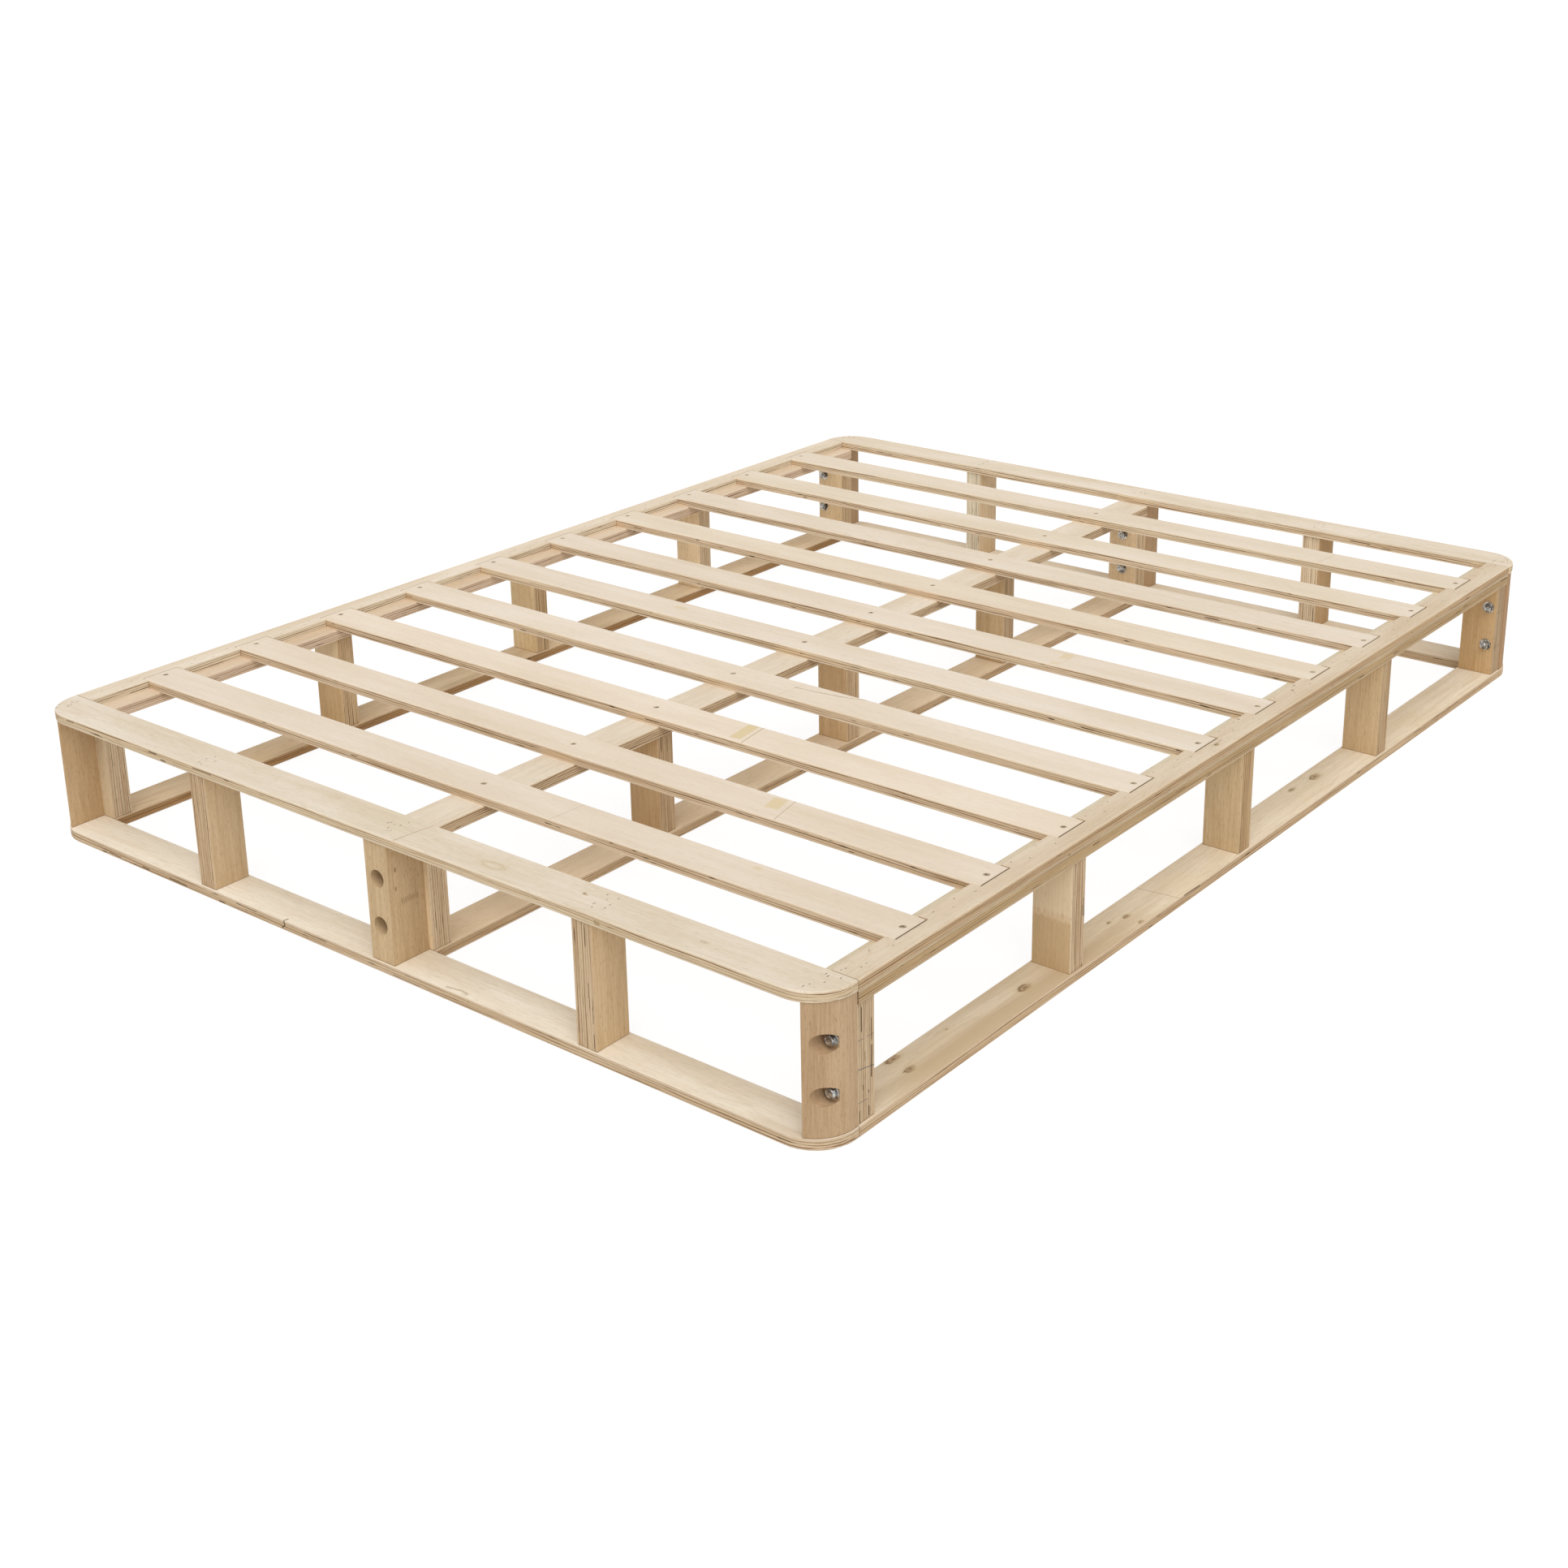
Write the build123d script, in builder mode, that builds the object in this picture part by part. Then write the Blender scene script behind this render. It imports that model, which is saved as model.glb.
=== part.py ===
from build123d import *
import os

# Wooden box spring of queen size: a knock-down foundation of laminated veneer boards.
# Two end frames, two side frames and one centre frame are bolted together, and a row of
# slats is screwed across them. X runs across the bed, Y from the foot end (negative) to
# the head end, Z up. The origin is the middle of the underside. Sizes are millimetres.

os.makedirs("parts", exist_ok=True)

# Whole foundation
bed_width = 1524
bed_length = 2032
bed_height = 210

# Laminated veneer boards
board_width = 66
top_thickness = 14  # end top boards, side strips and slats
ledge_thickness = 18  # boards that the slats rest on
base_thickness = 16
corner_radius = 60
eased_radius = 3
seam_gap = 0.3  # between the boards of an end frame and those of a long frame

# Posts and blocks that stand between the boards
post_thickness = 34
post_setback = 3
corner_block_width = 36.5
centre_block_width = 44
block_setback = 1.5

# Side strips with a notch for each slat end
strip_width = 40
notch_depth = 15
notch_side_gap = 0.6
notch_end_gap = 1.2

# Slats
slat_count = 10
slat_width = 66
first_slat_gap = 107  # from an end board to the nearest slat

# Bolts that hold the frames together, with a washer under the head and under the nut
bolt_edge_distance = 17  # from the outer side to the axis of a corner bolt
bolt_spacing = 70
bolt_grip = 28  # wood of the block that the bolt clamps
bolt_diameter = 8
bolt_head_height = 5.3
bolt_end_chamfer = 1
bolt_proud = 4  # thread that shows past the nut
wrench_size = 13
nut_height = 6.5
washer_diameter = 20
washer_thickness = 1.6
counterbore_diameter = 26
bolt_clearance = 0.5  # around the bolt in wood
thread_clearance = 0.1  # around the bolt in washers and nuts

# Countersunk wood screws in the slats
screw_length = 28
screw_head_diameter = 8.4
screw_rim = 0.4
screw_cone_angle = 90  # degrees across the cone under the head
screw_shank_diameter = 4
screw_tip = 4
screw_sink = 0.6  # how far the head lies below the slat's face
screw_inset = 13  # from a slat's end to its screw
screw_clearance = 0.15

# Places of the posts along a frame, as shares of half the distance between its end posts
end_post_shares = (-0.5, 0.5)
long_post_shares = (-0.5, 0, 0.5)

# Levels and planes that the pieces share
half_width = bed_width / 2
half_length = bed_length / 2
ledge_top = bed_height - top_thickness
ledge_bottom = ledge_top - ledge_thickness
seam_y = half_length - board_width
bolt_x = half_width - bolt_edge_distance
bolt_z = (base_thickness + ledge_top) / 2
bore_floor_y = seam_y + bolt_grip
post_depth = board_width - 2 * post_setback
end_post_y = seam_y - post_thickness / 2
slat_half_length = half_width - strip_width + notch_depth - notch_end_gap
slat_pitch = (2 * (seam_y - first_slat_gap) - slat_width) / (slat_count - 1)
screw_x = slat_half_length - screw_inset

end_names = {-1: "front", 1: "back"}
side_names = {-1: "left", 1: "right"}


def finish(piece, name):
    piece.part.label = name
    export_step(piece.part, f"parts/{name}.step")


def bolt_plane(end, y):
    # A plane across the bolts, facing out of the bed at this end, centred between the bolt rows
    return Plane(origin=(0, end * y, bolt_z), x_dir=(1, 0, 0), z_dir=(0, end, 0))


# End frames: boards with rounded outer corners, on corner blocks, a centre block and two posts


def end_board_outline(end, inset):
    # The outline stands back from the outer edges by the inset and stays flush at the seam
    depth = board_width - inset
    with Locations((0, end * (seam_y + depth / 2))):
        Rectangle(bed_width - 2 * inset, depth)
    outer = vertices().sort_by(Axis.Y)[-2:] if end > 0 else vertices().sort_by(Axis.Y)[:2]
    fillet(outer, min(corner_radius, board_width - eased_radius) - inset)


def end_board(end, bottom, thickness):
    with BuildPart() as board:
        with BuildSketch(Plane.XY.offset(bottom)):
            end_board_outline(end, 0)
        extrude(amount=thickness)
        faces_by_height = board.faces().sort_by(Axis.Z)
        face = faces_by_height[-1] if bottom > 0 else faces_by_height[0]
        inner = face.edges().sort_by(Axis.Y)[0 if end > 0 else -1]
        fillet([edge for edge in face.edges() if edge != inner], eased_radius)
    return board


def corner_block(end, side):
    width = corner_block_width
    centre_x = side * (half_width - block_setback - width / 2)
    with BuildPart() as block:
        with BuildSketch(Plane.XY.offset(base_thickness)):
            end_board_outline(end, block_setback)
            with Locations((centre_x, end * (seam_y + board_width / 2))):
                Rectangle(width, board_width, mode=Mode.INTERSECT)
        extrude(amount=ledge_top - base_thickness)
        drill_for_bolts(end, side * bolt_x)
    return block


def centre_block(end):
    depth = board_width - post_setback
    with BuildPart() as block:
        with BuildSketch(Plane.XY.offset(base_thickness)):
            with Locations((0, end * (seam_y + depth / 2))):
                Rectangle(centre_block_width, depth)
        extrude(amount=ledge_top - base_thickness)
        drill_for_bolts(end, 0)
    return block


def drill_for_bolts(end, x):
    # Two counterbored holes from the outer face, deep enough to hide the bolt heads
    with Locations(bolt_plane(end, half_length)):
        with Locations((x, bolt_spacing / 2), (x, -bolt_spacing / 2)):
            CounterBoreHole(
                radius=bolt_diameter / 2 + bolt_clearance,
                counter_bore_radius=counterbore_diameter / 2,
                counter_bore_depth=half_length - bore_floor_y,
            )


def end_post(end, x):
    with BuildPart() as post:
        with BuildSketch(Plane.XY.offset(base_thickness)):
            with Locations((x, end * (seam_y + board_width / 2))):
                Rectangle(post_thickness, post_depth)
        extrude(amount=ledge_top - base_thickness)
    return post


for end, end_name in end_names.items():
    finish(end_board(end, ledge_top, top_thickness), f"{end_name}_top_board")
    finish(end_board(end, 0, base_thickness), f"{end_name}_bottom_board")
    finish(centre_block(end), f"{end_name}_centre_block")
    for side, side_name in side_names.items():
        finish(corner_block(end, side), f"{end_name}_{side_name}_corner_block")
    for share, side_name in zip(end_post_shares, side_names.values()):
        finish(end_post(end, share * half_width), f"{end_name}_{side_name}_post")

# Long frames: the two side frames and the centre frame share their posts and bottom boards


def long_board(centre_x, bottom, thickness, top_side):
    # A plain board from seam to seam, with its long edges eased on the face that shows
    with BuildPart() as board:
        with BuildSketch(Plane.XY.offset(bottom)):
            with Locations((centre_x, 0)):
                Rectangle(board_width, 2 * (seam_y - seam_gap))
        extrude(amount=thickness)
        face = board.faces().sort_by(Axis.Z)[-1 if top_side else 0]
        fillet(face.edges().filter_by(Axis.Y), eased_radius)
    return board


def pilot_holes(xs, depth):
    # Holes under the slat screws, from the top face of the board that the slats rest on
    with Locations(Plane.XY.offset(ledge_top)):
        for x in xs:
            with Locations((x, 0)):
                with GridLocations(0, slat_pitch, 1, slat_count):
                    Hole(radius=screw_shank_diameter / 2 + screw_clearance, depth=depth)


def ledge_board(centre_x, xs):
    board = long_board(centre_x, ledge_bottom, ledge_thickness, True)
    with BuildPart() as drilled:
        add(board.part)
        pilot_holes(xs, ledge_thickness)
    return drilled


def long_post(centre_x, y):
    with BuildPart() as post:
        with BuildSketch(Plane.XY.offset(base_thickness)):
            with Locations((centre_x, y)):
                Rectangle(post_depth, post_thickness)
        extrude(amount=ledge_bottom - base_thickness)
    return post


def bolted_post(centre_x, end, x):
    post = long_post(centre_x, end * end_post_y)
    with BuildPart() as drilled:
        add(post.part)
        with Locations(bolt_plane(end, seam_y)):
            with Locations((x, bolt_spacing / 2), (x, -bolt_spacing / 2)):
                Hole(radius=bolt_diameter / 2 + bolt_clearance)
    return drilled


def side_strip(side):
    # The strip lies on the ledge at the outer side, and its notches hold the slat ends
    centre_x = side * (half_width - strip_width / 2)
    notch_x = side * (half_width - strip_width + notch_depth / 2)
    with BuildPart() as strip:
        with BuildSketch(Plane.XY.offset(ledge_top)):
            with Locations((centre_x, 0)):
                Rectangle(strip_width, 2 * (seam_y - seam_gap))
            with Locations((notch_x, 0)):
                with GridLocations(0, slat_pitch, 1, slat_count):
                    Rectangle(notch_depth, slat_width + 2 * notch_side_gap, mode=Mode.SUBTRACT)
        extrude(amount=top_thickness)
        long_edges = strip.faces().sort_by(Axis.Z)[-1].edges().filter_by(Axis.Y)
        fillet(long_edges.sort_by(Axis.X)[-1 if side > 0 else 0], eased_radius)
    return strip


def long_frame(frame_name, centre_x, screw_xs, frame_bolt_x):
    finish(ledge_board(centre_x, screw_xs), f"{frame_name}_ledge_board")
    finish(long_board(centre_x, 0, base_thickness, False), f"{frame_name}_bottom_board")
    for end, end_name in end_names.items():
        finish(bolted_post(centre_x, end, frame_bolt_x), f"{frame_name}_{end_name}_end_post")
    for number, share in enumerate(long_post_shares, start=1):
        finish(long_post(centre_x, share * end_post_y), f"{frame_name}_post_{number}")


for side, side_name in side_names.items():
    side_x = side * (half_width - board_width / 2)
    long_frame(side_name, side_x, (side * screw_x,), side * bolt_x)
    finish(side_strip(side), f"{side_name}_notched_strip")
long_frame("centre", 0, (0,), 0)

# Slats, numbered from the foot end


def slat(y):
    # The hole's cone starts wider than the screw head, so that the head lies below the face
    cone_radius = screw_head_diameter / 2 + screw_sink + screw_rim + screw_clearance
    with BuildPart() as board:
        with BuildSketch(Plane.XY.offset(ledge_top)):
            with Locations((0, y)):
                Rectangle(2 * slat_half_length, slat_width)
        extrude(amount=top_thickness)
        fillet(board.faces().sort_by(Axis.Z)[-1].edges().filter_by(Axis.X), eased_radius)
        with Locations(Plane.XY.offset(bed_height)):
            with Locations((0, y)):
                with GridLocations(screw_x, 0, 3, 1):
                    CounterSinkHole(
                        radius=screw_shank_diameter / 2 + screw_clearance,
                        counter_sink_radius=cone_radius,
                        counter_sink_angle=screw_cone_angle,
                    )
    return board


for number in range(slat_count):
    finish(slat((number - (slat_count - 1) / 2) * slat_pitch), f"slat_{number + 1:02d}")

# Fasteners: one of each is drawn at the origin, and copies go to their places

with BuildPart() as screw:
    with BuildSketch(Plane.XZ):
        with BuildLine():
            head = screw_head_diameter / 2
            shank = screw_shank_diameter / 2
            Polyline(
                (0, 0),
                (head, 0),
                (head, -screw_rim),
                (shank, -screw_rim - head + shank),
                (shank, screw_tip - screw_length),
                (0, -screw_length),
                close=True,
            )
        make_face()
    revolve(axis=Axis.Z)

with BuildPart() as slat_screws:
    with Locations(Plane.XY.offset(bed_height - screw_sink)):
        with GridLocations(screw_x, slat_pitch, 3, slat_count):
            add(screw.part)
finish(slat_screws, "slat_screws")

shank_length = bolt_grip + post_thickness + 2 * washer_thickness + nut_height + bolt_proud

with BuildPart() as bolt:
    with BuildSketch():
        RegularPolygon(wrench_size / 2, 6, major_radius=False)
    extrude(amount=bolt_head_height)
    with BuildSketch():
        Circle(bolt_diameter / 2)
    extrude(amount=-shank_length)
    chamfer(bolt.edges().filter_by(GeomType.CIRCLE).sort_by(Axis.Z)[0], bolt_end_chamfer)

with BuildPart() as washer:
    with BuildSketch():
        Circle(washer_diameter / 2)
        Circle(bolt_diameter / 2 + thread_clearance, mode=Mode.SUBTRACT)
    extrude(amount=washer_thickness)

with BuildPart() as nut:
    with BuildSketch():
        RegularPolygon(wrench_size / 2, 6, major_radius=False)
        Circle(bolt_diameter / 2 + thread_clearance, mode=Mode.SUBTRACT)
    extrude(amount=-nut_height)


def at_every_bolt(fastener, y):
    # Two bolts at each corner and at each end of the centre frame, at both ends of the bed
    with BuildPart() as group:
        for end in end_names:
            with Locations(bolt_plane(end, y)):
                with GridLocations(bolt_x, bolt_spacing, 3, 2):
                    add(fastener.part)
    return group


post_inner_y = seam_y - post_thickness
finish(at_every_bolt(bolt, bore_floor_y + washer_thickness), "hex_bolts")
finish(at_every_bolt(washer, bore_floor_y), "bolt_head_washers")
finish(at_every_bolt(washer, post_inner_y - washer_thickness), "nut_washers")
finish(at_every_bolt(nut, post_inner_y - washer_thickness), "hex_nuts")
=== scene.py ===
import math
import random

import bmesh
import bpy
from mathutils import Matrix, Vector


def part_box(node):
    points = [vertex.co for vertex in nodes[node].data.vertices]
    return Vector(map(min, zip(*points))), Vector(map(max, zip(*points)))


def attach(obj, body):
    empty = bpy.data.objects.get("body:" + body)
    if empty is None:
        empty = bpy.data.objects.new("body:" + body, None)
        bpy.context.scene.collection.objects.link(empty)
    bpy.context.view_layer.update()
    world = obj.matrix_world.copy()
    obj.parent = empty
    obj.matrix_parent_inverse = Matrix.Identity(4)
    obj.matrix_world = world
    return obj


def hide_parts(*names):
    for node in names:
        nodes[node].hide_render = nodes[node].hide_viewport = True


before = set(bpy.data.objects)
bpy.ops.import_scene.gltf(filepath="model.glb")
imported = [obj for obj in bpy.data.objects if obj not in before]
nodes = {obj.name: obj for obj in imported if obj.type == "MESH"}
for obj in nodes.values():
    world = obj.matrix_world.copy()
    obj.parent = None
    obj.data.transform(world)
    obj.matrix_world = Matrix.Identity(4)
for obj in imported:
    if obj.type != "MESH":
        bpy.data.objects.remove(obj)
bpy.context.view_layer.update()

mm = 0.001
print("frame loaded:", len(nodes), "nodes")


# shader maths

class Wire:
    # an output socket that can be added, multiplied and so on, which adds Math nodes
    def __init__(self, finish, socket):
        self.finish, self.socket = finish, socket

    def math(self, operation, *others):
        return self.finish.node("ShaderNodeMath", {"operation": operation}, (self, *others))

    def __add__(self, other):
        return self.math("ADD", other)

    def __sub__(self, other):
        return self.math("SUBTRACT", other)

    def __rsub__(self, other):
        return self.finish.node("ShaderNodeMath", {"operation": "SUBTRACT"}, (other, self))

    def __mul__(self, other):
        return self.math("MULTIPLY", other)

    def __truediv__(self, other):
        return self.math("DIVIDE", other)

    def __abs__(self):
        return self.math("ABSOLUTE")

    __radd__ = __add__
    __rmul__ = __mul__

    def output(self, key):
        return Wire(self.finish, self.socket.node.outputs[key])


class Finish:
    # the node tree of a material, or of the world, while it is being made
    def __init__(self, owner):
        owner.use_nodes = True
        self.owner, self.tree = owner, owner.node_tree
        self.tree.nodes.clear()

    def node(self, kind, settings=None, values=(), out=0):
        made = self.tree.nodes.new(kind)
        for key, value in (settings or {}).items():
            setattr(made, key, value)
        for key, value in values.items() if isinstance(values, dict) else enumerate(values):
            if isinstance(value, Wire):
                self.tree.links.new(value.socket, made.inputs[key])
            else:
                made.inputs[key].default_value = value
        return None if out is None else Wire(self, made.outputs[out])

    def coordinate(self, out="Object"):
        return self.node("ShaderNodeTexCoord", out=out)

    def vector(self, x, y, z):
        return self.node("ShaderNodeCombineXYZ", values=(x, y, z))

    def parts(self, vector):
        x = self.node("ShaderNodeSeparateXYZ", values=(vector,))
        return x, x.output(1), x.output(2)

    def noise(self, vector, detail=2.0, scale=1.0):
        values = {"Vector": vector, "Scale": scale, "Detail": detail}
        return self.node("ShaderNodeTexNoise", values=values)

    def random(self, x, y, z):
        values = {"Vector": self.vector(x, y, z)}
        return self.node("ShaderNodeTexWhiteNoise", values=values, out="Value")

    def blend(self, factor, under, over):
        under, over = (c if isinstance(c, Wire) else (*c, 1) for c in (under, over))
        settings = {"data_type": "RGBA", "clamp_factor": True}
        return self.node("ShaderNodeMix", settings, {0: factor, 6: under, 7: over}, out=2)

    def bump(self, strength, distance, height):
        values = {"Strength": strength, "Distance": distance, "Height": height}
        return self.node("ShaderNodeBump", values=values)

    def surface(self, shader, output="ShaderNodeOutputMaterial"):
        self.node(output, values={"Surface": shader}, out=None)
        return self.owner


def step(value, low, high):
    # 0 below low and 1 above high, or the other way round where low is the larger
    settings = {"interpolation_type": "SMOOTHSTEP"}
    return value.finish.node("ShaderNodeMapRange", settings, (value, low, high, 0.0, 1.0))


def swing(noise, reach):
    # noise about zero
    return (noise - 0.5) * reach


def middle(a, b, c):
    # the middle one of three values
    return a.math("MINIMUM", b).math("MAXIMUM", a.math("MAXIMUM", b).math("MINIMUM", c))


# wood

woodLooks = {
    # colours of the faces and of the cut edges, the thickness of a ply and the length and
    # width of a pore in mm, the strength of each part of the grain, and the eased arris in mm
    "slat": {
        "facePale": (0.86, 0.755, 0.63), "faceDeep": (0.77, 0.645, 0.495),
        # the slats' cut-edge colours and ply tints are lifted as painted light on their shaded
        # sides
        "edgePale": (0.80, 0.64, 0.455), "edgeDeep": (0.52, 0.355, 0.20),
        "plyTints": ((0.66, 0.45, 0.275), (0.73, 0.57, 0.37)),
        "ply": 3.5, "fibre": 0.31, "streak": 0.36, "blotch": 1.7, "figure": 0.16,
        "pores": (14, 1.2), "flecks": 0.10, "voidLength": 34, "voids": 0.68, "arris": 0.5,
    },
    "board": {
        "facePale": (0.85, 0.745, 0.61), "faceDeep": (0.73, 0.60, 0.44),
        "edgePale": (0.67, 0.515, 0.34), "edgeDeep": (0.44, 0.29, 0.155),
        "plyTints": ((0.59, 0.40, 0.245), (0.66, 0.51, 0.32)),
        "ply": 3.6, "fibre": 0.42, "streak": 0.45, "blotch": 1.8, "figure": 0.22,
        "pores": (15, 1.2), "flecks": 0.14, "voidLength": 45, "voids": 0.67, "arris": 0.5,
    },
    "post": {
        "facePale": (0.71, 0.525, 0.315), "faceDeep": (0.57, 0.39, 0.21),
        "edgePale": (0.70, 0.53, 0.34), "edgeDeep": (0.40, 0.255, 0.13),
        "plyTints": ((0.52, 0.34, 0.20), (0.63, 0.48, 0.295)),
        "ply": 4.3, "fibre": 0.8, "streak": 0.7, "blotch": 1.4, "figure": 0.05,
        "pores": (12, 1.0), "flecks": 0.30, "voidLength": 70, "voids": 0.655, "arris": 0.6,
    },
    "block": {
        "facePale": (0.575, 0.405, 0.245), "faceDeep": (0.455, 0.295, 0.165),
        "ply": 0, "fibre": 0.9, "streak": 0.55, "blotch": 1.3, "figure": 0.0,
        "pores": (8, 0.6), "flecks": 0.4, "arris": 0.7,
    },
}
# boards that differ from their kind: factors of their faces' colours and of their cut edges'
# colours, and what else is their own. Many factors are painted light: they lighten faces that
# lie in shade, in the frame's recesses, under the top boards and slats and towards the far end,
# such as the end posts, the bottom boards, the back posts and the slats' sides; the rest are
# the boards' own tone
boardLooksAndPaintedLight = {
    "left_bottom_board": {
        "shade": (0.97, 0.89, 0.76), "edge": (0.73, 0.62, 0.49), "figure": 0.8, "blotch": 2.4,
    },
    "right_notched_strip": {
        "shade": (0.915, 0.88, 0.83), "edge": (0.97, 0.93, 0.88), "figure": 0.4,
    },
    "right_ledge_board": {"shade": (0.9, 0.92, 0.88), "edge": (0.9, 0.83, 0.72)},
    "left_ledge_board": {"shade": (0.9, 0.84, 0.78), "edge": (1.24, 1.34, 1.6)},
    "left_notched_strip": {"edge": (1.36, 1.58, 1.88)},
    "front_top_board": {"edge": (1.07, 1.1, 1.13), "voids": 0.7},
    "back_top_board": {"edge": (1.38, 1.44, 1.52)},
    "front_bottom_board": {"shade": (1.07, 1.12, 1.17), "edge": (0.97, 0.97, 0.97)},
    "back_bottom_board": {"shade": (1.12, 1.12, 1.1)},
    "right_bottom_board": {
        "shade": (1.03, 1.03, 1.0), "figure": 0.5, "fibre": 0.36, "streak": 0.9, "blotch": 2.0,
    },
    "centre_bottom_board": {"shade": (1.07, 1.01, 0.92), "figure": 0.3, "fibre": 0.3},
    "left_front_end_post": {"shade": (1.14, 1.25, 1.42), "edge": (1.15, 1.16, 1.18)},
    "centre_front_end_post": {"shade": (1.3, 1.42, 1.6), "edge": (1.02, 1.01, 1.0)},
    "right_front_end_post": {"shade": (1.02, 1.05, 1.1), "voids": 0.69},
    "right_back_end_post": {"shade": (1.0, 0.94, 0.86), "edge": (0.84, 0.86, 0.9)},
    "front_left_post": {"shade": (1.0, 1.02, 1.06), "edge": (1.0, 0.97, 0.94)},
    "front_right_post": {"shade": (1.08, 1.1, 1.13)},
    "right_post_1": {"shade": (1.12, 1.18, 1.32), "edge": (0.98, 0.97, 0.94)},
    "right_post_2": {"shade": (1.06, 1.1, 1.14), "edge": (0.88, 0.8, 0.68)},
    "right_post_3": {"edge": (0.86, 0.82, 0.76)},
    "back_left_post": {"shade": (1.15, 1.22, 1.35), "edge": (1.3, 1.4, 1.55)},
    "back_right_post": {"shade": (0.9, 0.84, 0.78), "edge": (1.42, 1.6, 1.85)},
    "left_post_1": {"shade": (1.06, 1.02, 0.94)},
    "left_post_2": {"shade": (1.34, 1.42, 1.46), "edge": (0.82, 0.77, 0.7)},
    "left_post_3": {"shade": (1.33, 1.42, 1.55)},
    "centre_post_1": {"shade": (0.9, 0.86, 0.82)},
    "left_back_end_post": {"shade": (1.3, 1.36, 1.42), "edge": (0.86, 0.84, 0.8)},
    "centre_post_2": {"shade": (1.1, 1.08, 1.06)},
    "centre_back_end_post": {"shade": (1.3, 1.4, 1.55), "edge": (0.88, 0.85, 0.8)},
    "slat_04": {"edge": (1.05, 1.06, 1.06)},
    "slat_05": {"edge": (1.1, 1.12, 1.1)},
    "slat_06": {"edge": (1.06, 1.07, 1.07)},
    "slat_07": {"shade": (0.96, 0.96, 0.94), "edge": (1.08, 1.09, 1.12)},
    "slat_08": {"figure": 0.5, "edge": (1.07, 1.08, 1.1)},
    "slat_09": {"shade": (0.99, 0.98, 0.95), "edge": (1.18, 1.22, 1.28)},
    "slat_10": {"shade": (0.98, 0.97, 0.95), "edge": (1.14, 1.2, 1.24)},
    "back_right_corner_block": {"shade": (0.95, 0.88, 0.84)},
    "front_left_corner_block": {"shade": (1.16, 1.18, 1.14)},
    "front_centre_block": {"shade": (1.14, 1.19, 1.16)},
}
woodTones = {
    "glue": (0.22, 0.12, 0.055), "void": (0.085, 0.042, 0.017), "fleck": (0.20, 0.11, 0.05),
    # the brown of the sawn ends is partly painted shade where the parts meet
    "endBrownAndJoinShade": (0.16, 0.09, 0.04), "brightest": 0.93,
}
grain = {
    # noise: its steps per mm along the grain and across it, and its detail
    "fine": (0.016, 0.55, 3.0), "coarse": (0.005, 0.11, 3.0), "tone": (0.004, 0.02, 2.0),
    "field": (0.0014, 0.017, 1.0), "poreDetail": 1.5,
    # how strongly fibre and streaks show, and where pores and contour lines begin and end
    "fibre": 2.2, "streak": 1.8, "pore": (0.57, 0.68),
    "contours": 26, "ripple": 0.8, "contour": (0.34, 0.5),
    # shares of the relief, and the shader's values
    "relief": {"fine": 0.6, "coarse": 0.3, "fleck": 0.5, "line": 0.4, "void": 0.8},
    "bump": (0.3, 0.3 * mm), "rough": 0.72, "roughSwing": 0.25, "specular": 0.08,
    # chance: where each noise starts, and how light and how warm a board is
    "seed": (0, 400), "seeds": 6, "lift": (0.965, 1.01), "warmth": (-0.012, 0.012),
}
plies = {
    # the noises of the cut edges: their steps per mm, per joint and per ply
    "wave": (0.007, 0.02, 0.17), "drift": (0.006, 7.7, 0.03), "crack": (9.3, 0.04),
    "threads": (0.007, 0.1, 0.8), "threadStep": 13,
    # glue lines: how far they wander, their width in mm, and how they come and go
    "fewest": 3, "wander": 1.3, "lineWidth": (1.15, 0.3), "thinnest": 0.3,
    "lineWeight": (0.4, 0.6), "lineBreaks": (0.34, 0.54), "faintest": 0.3, "line": 0.95,
    # voids: how fast they open, and their half width and rim in mm
    "open": 14, "widest": 0.8, "voidRim": 0.2, "void": 0.9,
    # shares of the colours, and where a face counts as a cut edge
    "depth": 0.3, "threadSwing": 3.0, "coarseSwing": 1.3, "deepen": 0.15,
    "tintByChance": 0.5, "tintOdd": 0.5, "outer": 0.15, "facing": (0.8, 0.45),
}
# rubbed arrises, and sawn ends whose dark rim is partly painted shade along the joins between
# parts: how far in they fade, in mm, and how strongly they show
worn = {"rim": (2.4, 0.4), "patches": (0.4, 0.62), "strength": 0.22, "polish": 0.08}
endRimAndJoinShade = {"rim": (1.3, 0.4), "strength": 0.7}

# Marks that single boards show, in mm: kind, face, place, reach, soft and strength. For a
# line or for fingers, place and reach are the two ends, and soft is the line's half width or
# the fingers' height. For a spot they are the middle and the half sizes, and soft is the
# share of the spot that fades out.

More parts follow.
